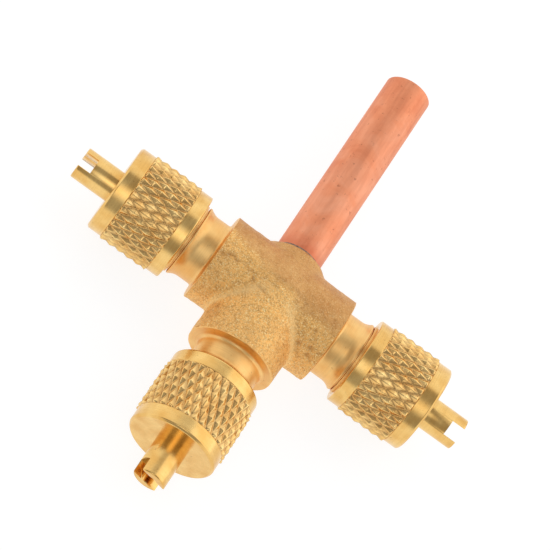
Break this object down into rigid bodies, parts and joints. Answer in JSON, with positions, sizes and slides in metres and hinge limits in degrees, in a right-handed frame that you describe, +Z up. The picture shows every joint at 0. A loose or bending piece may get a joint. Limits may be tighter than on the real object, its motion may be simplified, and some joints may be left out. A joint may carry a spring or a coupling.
{
  "type": "refrigerant service valve",
  "caption": "Brass tee service valve with three capped flare access ports, valve cores inside them, and a copper tube stub for brazing into a line.",
  "frame": {"origin": "middle of the bounding box's floor, on the plane that the three caps lie on", "axes": "+Z up out of the flat tee, +Y along the copper tube to its open end, +X along the right side port; the front port points along -Y"},
  "size_m": [0.0654, 0.074, 0.014],
  "materials": {
    "forged_brass": "blasted forging",
    "turned_brass": "turned and knurled",
    "copper": "drawn copper, annealed by brazing",
    "braze": "dull silver braze",
    "gasket_rubber": "moulded",
    "core_brass": "turned",
    "ptfe": "moulded",
    "pin_brass": "drawn",
    "seat_rubber": "moulded",
    "spring_steel": "spring wire"
  },
  "bodies": {
    "valve": {"valve_body": "forged_brass", "copper_stub": "copper", "braze_fillet": "braze", "core_plug_left": "core_brass", "core_barrel_left": "core_brass", "core_barrel_seal_left": "ptfe", "core_spring_left": "spring_steel", "core_plug_right": "core_brass", "core_barrel_right": "core_brass", "core_barrel_seal_right": "ptfe", "core_spring_right": "spring_steel", "core_plug_front": "core_brass", "core_barrel_front": "core_brass", "core_barrel_seal_front": "ptfe", "core_spring_front": "spring_steel"},
    "seal_left": {"cap_seal_left": "gasket_rubber"},
    "cap_left": {"cap_left": "turned_brass"},
    "pin_left": {"core_pin_left": "pin_brass", "core_seat_left": "seat_rubber"},
    "seal_right": {"cap_seal_right": "gasket_rubber"},
    "cap_right": {"cap_right": "turned_brass"},
    "pin_right": {"core_pin_right": "pin_brass", "core_seat_right": "seat_rubber"},
    "seal_front": {"cap_seal_front": "gasket_rubber"},
    "cap_front": {"cap_front": "turned_brass"},
    "pin_front": {"core_pin_front": "pin_brass", "core_seat_front": "seat_rubber"}
  },
  "joints": [
    {"name": "cap_left_travel", "type": "slide", "parent": "valve", "child": "seal_left", "axis": [-1, 0, 0], "range_m": [0, 0.00699]},
    {"name": "cap_left_turn", "type": "hinge", "parent": "seal_left", "child": "cap_left", "pos_m": [-0.02365, -0.00352, 0.007], "axis": [-1, 0, 0], "range_deg": [0, 1980]},
    {"name": "core_pin_left_press", "type": "slide", "parent": "valve", "child": "pin_left", "axis": [1, 0, 0], "range_m": [0, 0.0012], "stiffness_N_per_m": 1000, "springref_m": -0.0015, "deforming": ["core_spring_left"]},
    {"name": "cap_right_travel", "type": "slide", "parent": "valve", "child": "seal_right", "axis": [1, 0, 0], "range_m": [0, 0.00699]},
    {"name": "cap_right_turn", "type": "hinge", "parent": "seal_right", "child": "cap_right", "pos_m": [0.02365, -0.00352, 0.007], "axis": [1, 0, 0], "range_deg": [0, 1980]},
    {"name": "core_pin_right_press", "type": "slide", "parent": "valve", "child": "pin_right", "axis": [-1, 0, 0], "range_m": [0, 0.0012], "stiffness_N_per_m": 1000, "springref_m": -0.0015, "deforming": ["core_spring_right"]},
    {"name": "cap_front_travel", "type": "slide", "parent": "valve", "child": "seal_front", "axis": [0, -1, 0], "range_m": [0, 0.00699]},
    {"name": "cap_front_turn", "type": "hinge", "parent": "seal_front", "child": "cap_front", "pos_m": [0, -0.02797, 0.007], "axis": [0, -1, 0], "range_deg": [0, 1980]},
    {"name": "core_pin_front_press", "type": "slide", "parent": "valve", "child": "pin_front", "axis": [0, 1, 0], "range_m": [0, 0.0012], "stiffness_N_per_m": 1000, "springref_m": -0.0015, "deforming": ["core_spring_front"]}
  ],
  "couplings": [
    {"joint": "cap_left_travel", "follows": "cap_left_turn", "m_per_rad": 0.00020213},
    {"joint": "cap_right_travel", "follows": "cap_right_turn", "m_per_rad": 0.00020213},
    {"joint": "cap_front_travel", "follows": "cap_front_turn", "m_per_rad": 0.00020213}
  ]
}
